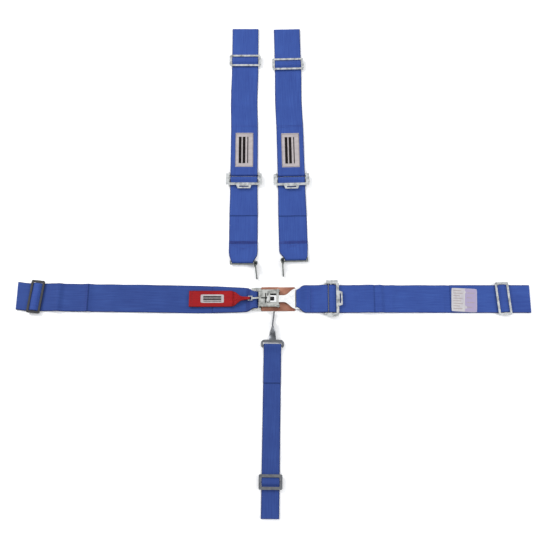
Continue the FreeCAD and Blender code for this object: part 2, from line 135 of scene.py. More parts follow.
# ---------------------------------------------------------------------------
# Node helpers for materials
# ---------------------------------------------------------------------------
class Nodes:
    """A material's node tree with short calls."""

    def __init__(self, name):
        self.material = bpy.data.materials.new(name)
        self.material.use_nodes = True
        self.tree = self.material.node_tree
        self.tree.nodes.clear()
        self.output = self.tree.nodes.new("ShaderNodeOutputMaterial")
        self.shader = self.tree.nodes.new("ShaderNodeBsdfPrincipled")
        self.link(self.shader.outputs[0], self.output.inputs[0])

    def link(self, a, b):
        self.tree.links.new(a, b)

    def add(self, kind, **values):
        node = self.tree.nodes.new(kind)
        for key, value in values.items():
            setattr(node, key, value)
        return node

    def put(self, socket, value):
        if hasattr(value, "is_output"):
            self.link(value, socket)
        else:
            socket.default_value = value

    def math(self, operation, a, b=0.0):
        node = self.add("ShaderNodeMath", operation=operation)
        for socket, value in zip(node.inputs, (a, b)):
            self.put(socket, value)
        return node.outputs[0]

    def mix(self, factor, a, b):
        node = self.add("ShaderNodeMix", data_type="RGBA")
        self.put(node.inputs[0], factor)
        self.put(node.inputs[6], a)
        self.put(node.inputs[7], b)
        return node.outputs[2]

    def noise(self, vector, scale, detail=3.0, rough=0.5):
        node = self.add("ShaderNodeTexNoise")
        self.link(vector, node.inputs["Vector"])
        node.inputs["Scale"].default_value = scale
        node.inputs["Detail"].default_value = detail
        node.inputs["Roughness"].default_value = rough
        return node.outputs[0]

    def stretch(self, vector, scale):
        node = self.add("ShaderNodeMapping")
        self.link(vector, node.inputs[0])
        node.inputs["Scale"].default_value = scale
        return node.outputs[0]

    def ramp(self, value, low, high, out_low=0.0, out_high=1.0):
        node = self.add("ShaderNodeMapRange", clamp=True)
        for socket, v in zip(node.inputs, (value, low, high, out_low, out_high)):
            self.put(socket, v)
        return node.outputs[0]

    def bump(self, height, strength, distance):
        node = self.add("ShaderNodeBump")
        node.inputs["Strength"].default_value = strength
        node.inputs["Distance"].default_value = distance
        self.link(height, node.inputs["Height"])
        self.link(node.outputs[0], self.shader.inputs["Normal"])

    def set(self, **values):
        for key, value in values.items():
            self.shader.inputs[key.replace("_", " ")].default_value = value

    def turns(self, value, pitch):
        """The value as an angle that goes round once every pitch, in millimetres."""
        return self.math("MULTIPLY", value, 2 * math.pi / (pitch * MM))

    def wave(self, value, pitch):
        return self.math("SINE", self.turns(value, pitch))

    def weigh(self, a, share_a, b, share_b):
        return self.math("ADD", self.math("MULTIPLY", a, share_a), self.math("MULTIPLY", b, share_b))

    def object_place(self):
        return self.add("ShaderNodeTexCoord").outputs["Object"]

    def uv(self):
        """The u and v of the surface, both in metres."""
        split = self.add("ShaderNodeSeparateXYZ")
        coordinate = self.add("ShaderNodeTexCoord").outputs["UV"]
        self.link(coordinate, split.inputs[0])
        return coordinate, split.outputs[0], split.outputs[1]


def srgb(r, g, b):
    """A linear colour from eight-bit screen values."""
    out = []
    for value in (r, g, b):
        c = value / 255
        c = c / 12.92 if c <= 0.04045 else ((c + 0.055) / 1.055) ** 2.4
        out.append(c)
    return (*out, 1.0)


def shaded(colour, factor):
    """The colour made darker or lighter by a factor, still opaque."""
    return tuple(c * factor for c in colour[:3]) + (1.0,)


def webbing_material(name, half, base, dark, light):
    """Woven polyester: lengthwise ribs, a cross weave, painted shade along the selvedges and faint wear."""
    m = Nodes(name)
    uv, u, v = m.uv()
    rib = m.wave(u, 2.1)
    pick = m.wave(v, 1.25)
    # Alternate ribs are shifted by half a pick, as in a twill.
    row = m.math("SINE", m.math("ADD", m.turns(v, 2.5), m.turns(u, 4.2)))
    weave = m.weigh(rib, 0.55, m.math("MULTIPLY", pick, row), 0.45)
    streak = m.noise(m.stretch(uv, (420.0, 14.0, 1.0)), 1.0, 4.0, 0.6)
    cloud = m.noise(m.stretch(uv, (18.0, 12.0, 1.0)), 1.0, 3.0, 0.5)
    tone = m.ramp(m.weigh(streak, 0.6, cloud, 0.4), 0.36, 0.64)
    colour = m.mix(tone, dark, light)
    colour = m.mix(0.5, colour, base)
    rib_shade = m.ramp(weave, -0.8, 0.6, 0.0, 1.0)
    colour = m.mix(m.math("MULTIPLY", m.math("SUBTRACT", 1.0, rib_shade), 0.35), colour, dark)
    # Painted shade: the colour darkens towards both edges of the belt, where its rounded selvedges turn from
    # the light.
    edge = m.ramp(m.math("ABSOLUTE", u), (half - 3.0) * MM, (half - 0.4) * MM)
    colour = m.mix(m.math("MULTIPLY", edge, 0.72), colour, shaded(dark, 0.42))
    m.link(colour, m.shader.inputs["Base Color"])
    m.put(m.shader.inputs["Roughness"], m.ramp(weave, -1.0, 1.0, 0.78, 0.6))
    m.set(Sheen_Weight=0.06, Sheen_Roughness=0.45, Specular_IOR_Level=0.2)
    m.bump(weave, 0.55, 0.00035)
    return m.material


def thread_material(name, colour):
    """Twisted polyester thread."""
    m = Nodes(name)
    place = m.object_place()
    twist = m.noise(m.stretch(place, (900.0, 900.0, 900.0)), 1.0, 2.0)
    m.link(m.mix(m.ramp(twist, 0.3, 0.7), shaded(colour, 0.7), colour),
           m.shader.inputs["Base Color"])
    m.put(m.shader.inputs["Roughness"], m.ramp(twist, 0.2, 0.8, 0.5, 0.75))
    m.bump(twist, 0.4, 0.0001)
    return m.material


def metal_material(name, colour, rough_low, rough_high, metallic, scratch, stain):
    """Plated or coated steel with fine rolling marks, cloudy gloss and darker stains."""
    m = Nodes(name)
    place = m.object_place()
    grain = m.noise(m.stretch(place, (60.0, 1400.0, 1400.0)), 1.0, 3.0, 0.6)
    cloud = m.noise(m.stretch(place, (90.0, 90.0, 90.0)), 1.0, 4.0, 0.55)
    spots = m.noise(m.stretch(place, (700.0, 700.0, 700.0)), 1.0, 2.0, 0.5)
    m.link(m.mix(m.ramp(cloud, 0.42, 0.68), colour, stain), m.shader.inputs["Base Color"])
    gloss = m.weigh(cloud, 0.6, grain, 0.4)
    m.put(m.shader.inputs["Roughness"], m.ramp(gloss, 0.3, 0.7, rough_low, rough_high))
    m.set(Metallic=metallic)
    m.bump(m.math("ADD", grain, m.math("MULTIPLY", spots, 0.4)), scratch, 0.00006)
    return m.material


def leather_material(name, base, dark):
    """Tan leather: pebble grain, creases, and soft darker handling marks."""
    m = Nodes(name)
    place = m.object_place()
    cells = m.add("ShaderNodeTexVoronoi", feature="DISTANCE_TO_EDGE")
    m.link(place, cells.inputs["Vector"])
    cells.inputs["Scale"].default_value = 520.0
    pores = m.ramp(cells.outputs[0], 0.0, 0.25)
    cloud = m.noise(m.stretch(place, (26.0, 40.0, 40.0)), 1.0, 5.0, 0.6)
    crease = m.noise(m.stretch(place, (22.0, 160.0, 60.0)), 1.0, 4.0, 0.65)
    colour = m.mix(m.ramp(cloud, 0.35, 0.65), dark, base)
    colour = m.mix(m.math("MULTIPLY", m.math("SUBTRACT", 1.0, pores), 0.3), colour, dark)
    m.link(colour, m.shader.inputs["Base Color"])
    m.put(m.shader.inputs["Roughness"], m.ramp(cloud, 0.3, 0.7, 0.85, 0.7))
    m.set(Specular_IOR_Level=0.15)
    m.bump(m.weigh(pores, 0.35, crease, 0.65), 0.5, 0.0004)
    return m.material


def label_material(name, base, shade):
    """Printed satin cloth: a fine even weave with faint creases."""
    m = Nodes(name)
    uv, u, v = m.uv()
    weave = m.math("MULTIPLY", m.wave(u, 0.9), m.wave(v, 0.9))
    crease = m.noise(m.stretch(uv, (30.0, 90.0, 1.0)), 1.0, 4.0, 0.6)
    m.link(m.mix(m.ramp(crease, 0.35, 0.7), base, shade), m.shader.inputs["Base Color"])
    m.put(m.shader.inputs["Roughness"], m.ramp(crease, 0.3, 0.7, 0.45, 0.65))
    m.bump(m.math("ADD", m.math("MULTIPLY", weave, 0.3), crease), 0.25, 0.0003)
    return m.material


def ink_material(name, colour):
    """Matt ink, a little thin in places."""
    m = Nodes(name)
    place = m.object_place()
    worn = m.noise(m.stretch(place, (500.0, 500.0, 500.0)), 1.0, 3.0)
    thin = tuple(min(c * 1.5 + 0.006, 1) for c in colour[:3]) + (1.0,)
    m.link(m.mix(m.ramp(worn, 0.5, 0.8), colour, thin), m.shader.inputs["Base Color"])
    m.put(m.shader.inputs["Roughness"], m.ramp(worn, 0.3, 0.7, 0.7, 0.9))
    m.set(Specular_IOR_Level=0.08)
    return m.material


BLUE = (srgb(46, 74, 144), srgb(31, 50, 116), srgb(58, 88, 158))
WIDE_BLUE = webbing_material("wide_blue_webbing", WIDE_HALF, *BLUE)
DEEP_BLUE = [shaded(tone, 0.8) for tone in BLUE]
LAP_BLUE = webbing_material("lap_blue_webbing", WIDE_HALF, *DEEP_BLUE)
NARROW_BLUE = webbing_material("narrow_blue_webbing", NARROW_HALF, *DEEP_BLUE)
RED_WEB = webbing_material("red_webbing", RED_HALF, srgb(150, 8, 14), srgb(98, 4, 12), srgb(168, 16, 20))
# Darker than the blue thread: besides stitching, it paints the shadow at the sewn end of each tongue loop.
NAVY_THREAD_AND_SHADE = thread_material("navy_thread_and_painted_shade", srgb(22, 36, 116))
BLUE_THREAD = thread_material("blue_thread", srgb(34, 50, 132))
RED_THREAD = thread_material("red_thread", srgb(120, 12, 22))
CHROME = metal_material("bright_plating", srgb(206, 208, 207), 0.14, 0.26, 1.0, 0.1, srgb(140, 142, 142))
LATCH_STEEL = metal_material("latch_plating", srgb(196, 197, 192), 0.16, 0.3, 1.0, 0.16, srgb(132, 134, 130))
LINK_STEEL = metal_material("link_plating", srgb(250, 250, 248), 0.12, 0.2, 1.0, 0.04, srgb(238, 240, 240))
TONGUE_STEEL = metal_material("tongue_steel", srgb(122, 126, 122), 0.22, 0.36, 1.0, 0.12, srgb(86, 90, 88))
BLACK = metal_material("black_coating", srgb(12, 12, 16), 0.32, 0.48, 0.0, 0.1, srgb(22, 22, 28))
GREY_STEEL = metal_material("grey_steel", srgb(112, 114, 118), 0.3, 0.45, 1.0, 0.12, srgb(92, 94, 98))
# Dark steel of the hook and spring; also laid on the latch base's floor as painted shade.
DARK_STEEL = metal_material("dark_steel", srgb(58, 58, 60), 0.25, 0.45, 1.0, 0.3, srgb(36, 36, 38))
LEATHER = leather_material("tan_leather", srgb(166, 120, 100), srgb(132, 84, 68))
GREY_LABEL = label_material("grey_label_cloth", srgb(166, 158, 158), srgb(146, 138, 140))
WHITE_LABEL = label_material("white_label_cloth", srgb(180, 178, 178), srgb(160, 156, 164))
PINK_LABEL = label_material("pink_label_cloth", srgb(152, 142, 170), srgb(138, 128, 158))
BLACK_INK = ink_material("black_ink", srgb(22, 18, 18))
GREY_INK = ink_material("grey_ink", srgb(150, 140, 140))


# ---------------------------------------------------------------------------
# Webbing
# ---------------------------------------------------------------------------
def arc(s, z, radius, start, end, steps=12):
    """Points of an arc in the s-z plane, with its angles in degrees."""
    turns = [math.radians(start + (end - start) * i / steps) for i in range(steps + 1)]
    return [(s + radius * math.cos(a), z + radius * math.sin(a)) for a in turns]


def fold(s_end, side):
    """The open fold of an anchor loop, from the upper layer to the lower."""
    radius = (TOP + 1.2 - LOW) / 2
    centre = s_end - side * (radius + WEB / 2)
    turn = arc(centre, LOW + radius, radius, 90, -90 if side > 0 else 270)
    return [(centre - side * 12, TOP)] + turn


def rounded(points, rounds=2):
    """The path with its corners cut, its two ends kept."""
    for _ in range(rounds):
        cut = [points[0]]
        for (a, b), (c, d) in zip(points, points[1:]):
            cut.append((a * 0.75 + c * 0.25, b * 0.75 + d * 0.25))
            cut.append((a * 0.25 + c * 0.75, b * 0.25 + d * 0.75))
        cut.append(points[-1])
        points = cut
    return points


def evenly(points, step):
    """Points a step apart along the path, closer where it bends."""
    out = [points[0]]
    for a, b in zip(points, points[1:]):
        length = math.hypot(b[0] - a[0], b[1] - a[1])
        parts = max(1, round(length / step))
        for i in range(1, parts + 1):
            u = i / parts
            here = (a[0] + (b[0] - a[0]) * u, a[1] + (b[1] - a[1]) * u)
            if math.hypot(here[0] - out[-1][0], here[1] - out[-1][1]) > 0.35 or i == parts:
                out.append(here)
    return out


def along_table(table, s):
    """A value at s from a short list of (s, value), straight between them."""
    if s <= table[0][0]:
        return table[0][1]
    for (s0, v0), (s1, v1) in zip(table, table[1:]):
        if s <= s1:
            return v0 + (v1 - v0) * (s - s0) / max(s1 - s0, 1e-6)
    return table[-1][1]


def swell(key, s, t, quiet, ripples):
    """How far the belt lifts off the surface at (s, t): slow waves and a few set ripples."""
    calm = 1.0
    for centre, reach in quiet:
        away = (abs(s - centre) - reach) / 25
        calm = min(calm, max(0.0, min(1.0, away)))
    calm = calm * calm * (3 - 2 * calm)
    slow = noise.noise(Vector((s * 0.012 + key, t * 0.016, key * 1.7))) * 1.5
    slow += noise.noise(Vector((s * 0.045 + key, t * 0.03, key * 3.1))) * 0.45
    lift = max(0.0, slow + 0.45) * calm
    for centre, reach, height, slant in ripples:
        x = (s - centre - slant * t) / reach
        lift += height * math.exp(-x * x) * calm
    return lift


def finish_mesh(name, verts, faces, uvs, material, smooth=True):
    """A new object from vertices and faces, with its faces turned outwards."""
    mesh = bpy.data.meshes.new(name)
    mesh.from_pydata([tuple(v) for v in verts], [], faces)
    if uvs:
        layer = mesh.uv_layers.new(name="UVMap")
        for loop in mesh.loops:
            layer.data[loop.index].uv = uvs[loop.vertex_index]
    mesh.materials.append(material)
    if smooth:
        mesh.shade_smooth()
    work = bmesh.new()
    work.from_mesh(mesh)
    bmesh.ops.recalc_face_normals(work, faces=work.faces)
    work.to_mesh(mesh)
    work.free()
    piece = bpy.data.objects.new(name, mesh)
    bpy.context.scene.collection.objects.link(piece)
    return piece


def web_mesh(name, strip, path, half, material, thick=WEB, plan=None, key=0.0, quiet=(),
             ripples=(), sideways=None, pucker=None, far_plan=None, step=STEP):
    """A closed ribbon of webbing along an s-z path, with rounded selvedges."""
    points = evenly(rounded(path), step)
    edge = [math.radians(a) for a in (60, 0, -60)]
    inset = thick * 0.42
    # The cross-section: each point is a place across, a side (top or bottom) and a share of the selvedge.
    profile = [(-1 + 2 * i / ACROSS, 1.0, 0.0) for i in range(ACROSS + 1)]
    profile += [(1.0, math.sin(a), math.cos(a)) for a in edge]
    profile += [(1 - 2 * i / ACROSS, -1.0, 0.0) for i in range(ACROSS + 1)]
    profile += [(-1.0, -math.sin(a), -math.cos(a)) for a in edge]
    verts, uvs, faces = [], [], []
    run = 0.0
    for i, (s, z) in enumerate(points):
        before, after = points[max(i - 1, 0)], points[min(i + 1, len(points) - 1)]
        ds, dz = after[0] - before[0], after[1] - before[1]
        length = math.hypot(ds, dz) or 1.0
        ns, nz = -dz / length, ds / length
        if i:
            run += math.hypot(s - points[i - 1][0], z - points[i - 1][1])
        wide = along_table(plan, s) if plan else half
        other = along_table(far_plan, s) if far_plan else wide
        for u, n, out in profile:
            width = wide if u > 0 else other
            t = u * (width - inset) + out * inset
            off = n * thick / 2
            lift = swell(key, s, t, quiet, ripples)
            if pucker:
                lift += pucker(s, u)
            shift = sideways(s) if sideways else 0.0
            verts.append(strip.point(s + ns * off, t + shift, z + nz * off + lift))
            uvs.append((t / width * half * MM, run * MM))
    ring = len(profile)
    for i in range(len(points) - 1):
        a, b = i * ring, (i + 1) * ring
        for j in range(ring):
            k = (j + 1) % ring
            faces.append((a + j, a + k, b + k, b + j))
    faces.append(tuple(range(ring)))
    last = (len(points) - 1) * ring
    faces.append(tuple(reversed(range(last, last + ring))))
    return finish_mesh(name, verts, faces, uvs, material)


def stitch_mesh(name, strip, rows, material, pitch=3.4, long=2.5, radius=0.38, swollen=None):
    """Rows of lockstitch: each row is (s0, t0, s1, t1, z), each stitch a small bead."""
    verts, faces = [], []
    for s0, t0, s1, t1, z in rows:
        length = math.hypot(s1 - s0, t1 - t0)
        count = max(1, int(length / pitch))
        ds, dt = (s1 - s0) / length, (t1 - t0) / length
        for i in range(count):
            at = (i + 0.5) * length / count
            s, t = s0 + ds * at, t0 + dt * at
            rise = swollen(s, t) if swollen else 0.0
            base = len(verts)
            for d, r in ((-0.5, 0.35), (-0.28, 1.0), (0.28, 1.0), (0.5, 0.35)):
                for k in range(6):
                    a = math.radians(60 * k)
                    side = radius * r * math.cos(a) * 1.15
                    up = radius * r * math.sin(a)
                    verts.append(strip.point(s + ds * d * long - dt * side, t + dt * d * long + ds * side,
                                             z + up + rise))
            for band in range(3):
                for k in range(6):
                    a, b = base + band * 6 + k, base + band * 6 + (k + 1) % 6
                    faces.append((a, b, b + 6, a + 6))
            faces.append(tuple(base + k for k in reversed(range(6))))
            faces.append(tuple(base + 18 + k for k in range(6)))
    return finish_mesh(name, verts, faces, None, material)


def box_rows(s0, s1, half, z):
    """A sewn rectangle with a cross in it."""
    sides = [(s0, -half, s1, -half), (s0, half, s1, half), (s0, -half, s0, half), (s1, -half, s1, half)]
    cross = [(s0, -half, s1, half), (s0, half, s1, -half)]
    return [(*row, z) for row in sides + cross]


def band_rows(s0, s1, half, z, count):
    """Close rows straight across the belt."""
    places = [s0 + (s1 - s0) * i / (count - 1) for i in range(count)]
    return [(s, -half, s, half, z) for s in places]


def settle(piece, body, slot, *nodes):
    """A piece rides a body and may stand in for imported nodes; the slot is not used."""
    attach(piece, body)
    if nodes:
        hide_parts(*nodes)


def rear_loop(towards):
    """From the layer below, round the adjuster's rear bar and away along the top."""
    turn = arc(*PIVOT, BAR_WRAP, -90, 90)
    return turn + [(-4.0, 8.8), (-14.0, 4.7), (-20.0, TOP)] + towards


def roll_and_tail(end):
    """From the free tail's end over the lock bar and down to the belt below it."""
    turn = arc(*LOCK, LOCK_WRAP, 90, 270, 16)
    tail = [(end, 3.2), (60.0, 3.2), (50.0, 3.5), (36.0, 5.2), (26.0, 7.8), (22.5, 9.9)]
    return tail + turn + [(24.5, 1.1)]


def slide_web(name, strip, at, turn, half, sizes, body, node, material):
    """The belt's pass over the slide's middle bar."""
    edge, under, over = sizes
    side = [(edge + 4.5, under), (edge, under), (edge - 3.5, under + 1.8), (4.5, over)]
    path = [(-s, z) for s, z in side] + [(0.0, over + 0.25)] + list(reversed(side))
    c, w = math.cos(math.radians(turn)), math.sin(math.radians(turn))
    local = Strip(strip.point(at, 0, 0), strip.along * c + strip.left * w)
    piece = web_mesh(name, local, path, half, material, thick=1.8, step=1.2)
    settle(piece, body, "webbing_blue", node)


# Stretches where a shoulder belt lies flat, as (centre, reach): the adjuster, the label, the tongue's
# loop, the anchor fold and the slide's travel
SHOULDER_QUIET = ((18.0, 34.0), (-71.0, 60.0), (255.0, 34.0), (SHOULDER_FOLD, 14.0), (-341.0, 86.0))


def loop_side(end, tip):
    """One edge of the lower strap: a little fuller below the adjuster, drawn in at the loop."""
    belly = [(0, WIDE_HALF), (60, WIDE_HALF), (120, 39.2), (end - 34, 39.2)]
    return belly + [(end - 24, 38.0), (end - 12, tip + 4.2), (end - 6, tip + 1.2), (end, tip)]


def bulge(low, high, most):
    """A sideways drift of the belt between two places along it."""
    def shift(s):
        u = (s - low) / (high - low)
        return most * math.sin(math.pi * u) ** 2 if 0 < u < 1 else 0.0

    return shift


def shoulder_belt(name, strip, rail, slider_at, key, side, tips, drift, band_at):
    """Both straps of one shoulder belt; tips are its half widths at the loop, near and far from the other."""
    belt, adjuster = name + "_belt", name + "_adjuster"
    # The upper strap: round the adjuster's rear bar, up to the anchor fold and back.
    path = [(-150.0, LOW)] + rear_loop([(-150.0, TOP), (-172.0, LOW), (-240.0, LOW), (-262.0, TOP)])
    path += fold(SHOULDER_FOLD, -1) + [(-264.0, LOW)]
    upper = web_mesh(name + "_upper_webbing", strip, path, WIDE_HALF, WIDE_BLUE, key=key,
                     quiet=SHOULDER_QUIET, sideways=bulge(-320.0, -125.0, drift),
                     ripples=((-205.0, 7.0, 0.8, 0.1), (-395.0, 8.0, 0.7, -0.08)))
    settle(upper, belt, "webbing_blue", name + "_upper_strap")
    # The lower strap, in one length from the free tail to the tongue's loop.
    path = roll_and_tail(SHOULDER_TAIL_END) + [(30.0, LOW), (rail - 18, LOW)]
    path += arc(rail, RAIL_Z, RAIL_WRAP, -90, 90)
    path += [(rail - 10, 8.2), (rail - 24, TOP), (band_at - 1, TOP)]
    near, far = (loop_side(rail + 7, tip) for tip in tips)
    left, right = (near, far) if side > 0 else (far, near)
    lower = web_mesh(name + "_lower_webbing", strip, path, WIDE_HALF, WIDE_BLUE, plan=left,
                     far_plan=right, key=key + 5, quiet=SHOULDER_QUIET, ripples=((160.0, 9.0, 0.6, 0.05),))
    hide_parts(name + "_lower_strap", name + "_adjuster_webbing_roll", name + "_adjusting_tail")
    tuple(strip.point(46, 0, 4))
    tuple(strip.point(25, 0, 4))
    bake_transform(lower)
    # Dense rows of dark navy stitching across the sewn end of the loop's top layer: real stitching, made dark
    # and thick to paint the shadow of that layer's step.
    band = stitch_mesh(name + "_tongue_loop_band_and_shadow", strip, band_rows(band_at, band_at + 7, 37.2, 4.5, 7),
                       NAVY_THREAD_AND_SHADE, radius=0.62)
    settle(band, belt, "webbing_blue")
    sewn = stitch_mesh(name + "_tongue_loop_stitching", strip, box_rows(rail - 47, rail - 26, 33.0, 4.35),
                       BLUE_THREAD)
    settle(sewn, belt, "webbing_blue")
    seam = band_rows(-144, -140, 36.2, 4.35, 2) + band_rows(-30, -24, 36.0, ON_TOP, 3)
    sewn = stitch_mesh(name + "_upper_loop_stitching", strip, seam, BLUE_THREAD)
    settle(sewn, belt, "webbing_blue")
    slide_web(name + "_slide_pass", strip, slider_at, 0, WIDE_HALF, WIDE_PASS, name + "_slider",
              name + "_slide_webbing", WIDE_BLUE)


shoulder_belt("left_shoulder", LEFT_SHOULDER, LEFT_TONGUE_RAIL, LEFT_SHOULDER_SLIDER, key=1.3, side=1,
              tips=(26.5, 30.0), drift=-1.8, band_at=200.0)
shoulder_belt("right_shoulder", RIGHT_SHOULDER, RIGHT_TONGUE_RAIL, RIGHT_SHOULDER_SLIDER, key=7.9, side=-1,
              tips=(23.5, 33.4), drift=-1.6, band_at=198.5)


# ---------------------------------------------------------------------------
# Lap belt
# ---------------------------------------------------------------------------
def left_lap():
    """One length of webbing: from the tail, round the latch's bar, to the anchor fold and back."""
    path = [(110.0, TOP), (30.0, TOP), (14.0, 8.0), (6.0, 10.1)] + arc(-6.0, 6.2, 4.2, 90, 270)
    path += [(8.0, 1.4), (20.0, LOW)] + list(reversed(fold(LEFT_LAP_FOLD, 1))) + [(LEFT_LAP_END, TOP)]
    plan = [(-20, 22.6), (0, 22.9), (6, 25.6), (12, 29.6), (18, 32.4), (30, 33.6), (49, 34.6), (90, 36.2),
            (130, 37.6), (150, WIDE_HALF), (900, WIDE_HALF)]
    quiet = ((0.0, 30.0), (110.0, 70.0), (483.0, 20.0), (LEFT_LAP_SLIDER, 26.0), (LEFT_LAP_FOLD, 14.0))
    ripples = ((447.0, 12.0, 5.5, 0.04), (520.0, 13.0, 6.5, 0.05), (548.0, 8.0, 3.0, 0.1),
               (380.0, 22.0, 2.5, 0.02), (300.0, 30.0, 1.8, -0.05), (230.0, 20.0, 1.6, 0.04))
    key = 13.1
    piece = web_mesh("left_lap_webbing", LEFT_LAP, path, WIDE_HALF, LAP_BLUE, plan=plan, key=key,
                     quiet=quiet, ripples=ripples, sideways=bulge(600.0, 680.0, -3.2))
    settle(piece, "lap_belt_latch_half", "webbing_blue", "left_lap_strap")
    sewn = stitch_mesh("left_lap_hem_stitching", LEFT_LAP, band_rows(446, 450, 36.0, ON_TOP, 2), BLUE_THREAD,
                       swollen=lambda s, t: swell(key, s, t, quiet, ripples))
    settle(sewn, "lap_belt_latch_half", "webbing_blue")
    # A band where the top layer climbs to the latch: it follows the belt's height and width.
    climb = [(s, z + 1.25) for s, z in reversed(path[:4])]
    rows = []
    for k in range(7):
        s = 10.5 + 1.6 * k
        half = along_table(plan, s) - 2.6
        rows.append((s, -half, s, half, along_table(climb, s)))
    sewn = stitch_mesh("left_lap_latch_stitching", LEFT_LAP, rows, NAVY_THREAD_AND_SHADE)
    settle(sewn, "lap_belt_latch_half", "webbing_blue")
    slide_web("left_lap_slide_pass", LEFT_LAP, LEFT_LAP_SLIDER, -5.4, WIDE_HALF, WIDE_PASS,
              "left_lap_slider", "left_lap_slide_webbing", WIDE_BLUE)


def right_lap():
    """The short strap on the link plate, then the long one through the adjuster."""
    path = [(-37.6, TOP), (-48.0, TOP), (-58.0, 8.4), (-65.0, 12.0)] + arc(-70.0, 8.2, 4.2, 90, 270)
    path += [(-60.0, 2.2), (-48.0, LOW), (-8.0, LOW)] + rear_loop([(-37.2, TOP)])
    plan = [(-90, 24.0), (-72, 24.0), (-67, 27.0), (-60, 33.5), (-54, 37.2), (-49, WIDE_HALF),
            (900, WIDE_HALF)]
    link = web_mesh("link_strap_webbing", RIGHT_LAP, path, WIDE_HALF, WIDE_BLUE, plan=plan, key=21.0,
                    quiet=((-30.0, 300.0),))
    settle(link, "lap_belt_link_half", "webbing_blue", "right_lap_link_strap")
    seam = band_rows(-45, -41, 36.0, ON_TOP, 2) + band_rows(-34, -30, 36.0, ON_TOP, 2)
    sewn = stitch_mesh("link_strap_stitching", RIGHT_LAP, seam, BLUE_THREAD)
    settle(sewn, "lap_belt_link_half", "webbing_blue")
    quiet = ((18.0, 46.0), (374.0, 42.0), (475.5, 57.0), (RIGHT_LAP_FOLD, 14.0))
    ripples = ((76.0, 9.0, 2.6, 0.02), (118.0, 20.0, 4.5, 0.03), (150.0, 9.0, 5.5, -0.02),
               (180.0, 9.0, 2.8, 0.04), (250.0, 28.0, 2.2, -0.05), (322.0, 10.0, 3.4, 0.08),
               (432.0, 8.0, 3.6, -0.04), (520.0, 9.0, 2.0, 0.1))
    path = roll_and_tail(RIGHT_LAP_TAIL_END) + [(30.0, LOW)] + list(reversed(fold(RIGHT_LAP_FOLD, 1)))
    anchor = web_mesh("right_lap_webbing", RIGHT_LAP, path + [(RIGHT_LAP_END, TOP)], WIDE_HALF, WIDE_BLUE,
                      key=23.7, quiet=quiet, ripples=ripples)
    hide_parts("right_lap_anchor_strap", "right_lap_adjuster_webbing_roll",
                "right_lap_adjusting_tail")
    tuple(RIGHT_LAP.point(46, 0, 4))
    tuple(RIGHT_LAP.point(25, 0, 4))
    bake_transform(anchor)
    slide_web("right_lap_slide_pass", RIGHT_LAP, RIGHT_LAP_SLIDER, 3.9, WIDE_HALF, WIDE_PASS,
              "right_lap_slider", "right_lap_slide_webbing", WIDE_BLUE)


left_lap()
right_lap()


# ---------------------------------------------------------------------------
# Crotch belt
# ---------------------------------------------------------------------------
def crotch():
    """The narrow belt, from its sewn end round the tongue's bar to the anchor fold and back."""
    path = [(CROTCH_SEWN_END, TOP), (22.0, TOP), (8.0, 8.2)] + arc(0, 6.0, 4.4, 90, 270)
    path += [(14.0, LOW), (225.0, LOW), (247.0, TOP)] + fold(CROTCH_FOLD, 1) + [(249.0, LOW)]
    quiet = ((0.0, 40.0), (366.0, 55.0), (CROTCH_FOLD, 14.0))
    piece = web_mesh("crotch_webbing", CROTCH, path, NARROW_HALF, NARROW_BLUE, key=31.3, quiet=quiet,
                     ripples=((150.0, 8.0, 0.7, 0.1), (290.0, 6.0, 0.6, -0.1)))
    settle(piece, "crotch_belt", "webbing_blue", "crotch_strap")
    seam = band_rows(20, 24, 20.8, ON_TOP, 3) + band_rows(94, 96, 20.8, 4.35, 2)
    sewn = stitch_mesh("crotch_stitching", CROTCH, seam, BLUE_THREAD)
    settle(sewn, "crotch_belt", "webbing_blue")
    slide_web("crotch_slide_pass", CROTCH, CROTCH_SLIDER, 0, NARROW_HALF, NARROW_PASS, "crotch_slider",
              "crotch_slide_webbing", NARROW_BLUE)


crotch()


# ---------------------------------------------------------------------------
# Red pull strap
# ---------------------------------------------------------------------------
def crumple(s, u):
    """Pleats where the strap gathers to its narrow loop."""
    if s < 6 or s > 66:
        return 0.0
    strength = math.sin(math.pi * (s - 6) / 60) ** 1.2
    ridge = abs(math.sin(2.2 * math.pi * u + 0.4)) * 1.7 + noise.noise(Vector((s * 0.11, u * 2.4, 3.0))) * 1.8
    return max(0.0, ridge + 0.3) * strength


def pull_strap():
    """From the gathered end, round the lever's ring, out to the far fold and back."""
    path = [(38.0, 7.8), (14.0, 14.0), (3.0, 16.6)] + arc(0, 13.75, 3.0, 90, 270)
    path += [(3.0, 10.7), (14.0, 8.9), (32.0, 5.7), (157.0, 5.6)] + arc(157.0, 6.65, 1.05, -90, 90)
    path += [(42.0, 7.7)]
    plan = [(-8, 3.8), (6, 3.9), (16, 4.9), (22, 6.8), (28, 12.0), (35, 18.3), (42, 21.4), (50, RED_HALF),
            (400, RED_HALF)]
    piece = web_mesh("red_pull_webbing", RED, path, RED_HALF, RED_WEB, thick=1.8, plan=plan, key=41.0,
                     quiet=((80.0, 400.0),), pucker=crumple, step=2.0)
    settle(piece, "pull_strap", "webbing_red", "red_pull_strap")
    sewn = stitch_mesh("red_pull_stitching", RED, band_rows(150, 153, 20.5, 8.7, 2), RED_THREAD, pitch=3.0,
                       long=2.2, radius=0.3)
    settle(sewn, "pull_strap", "webbing_red")


pull_strap()


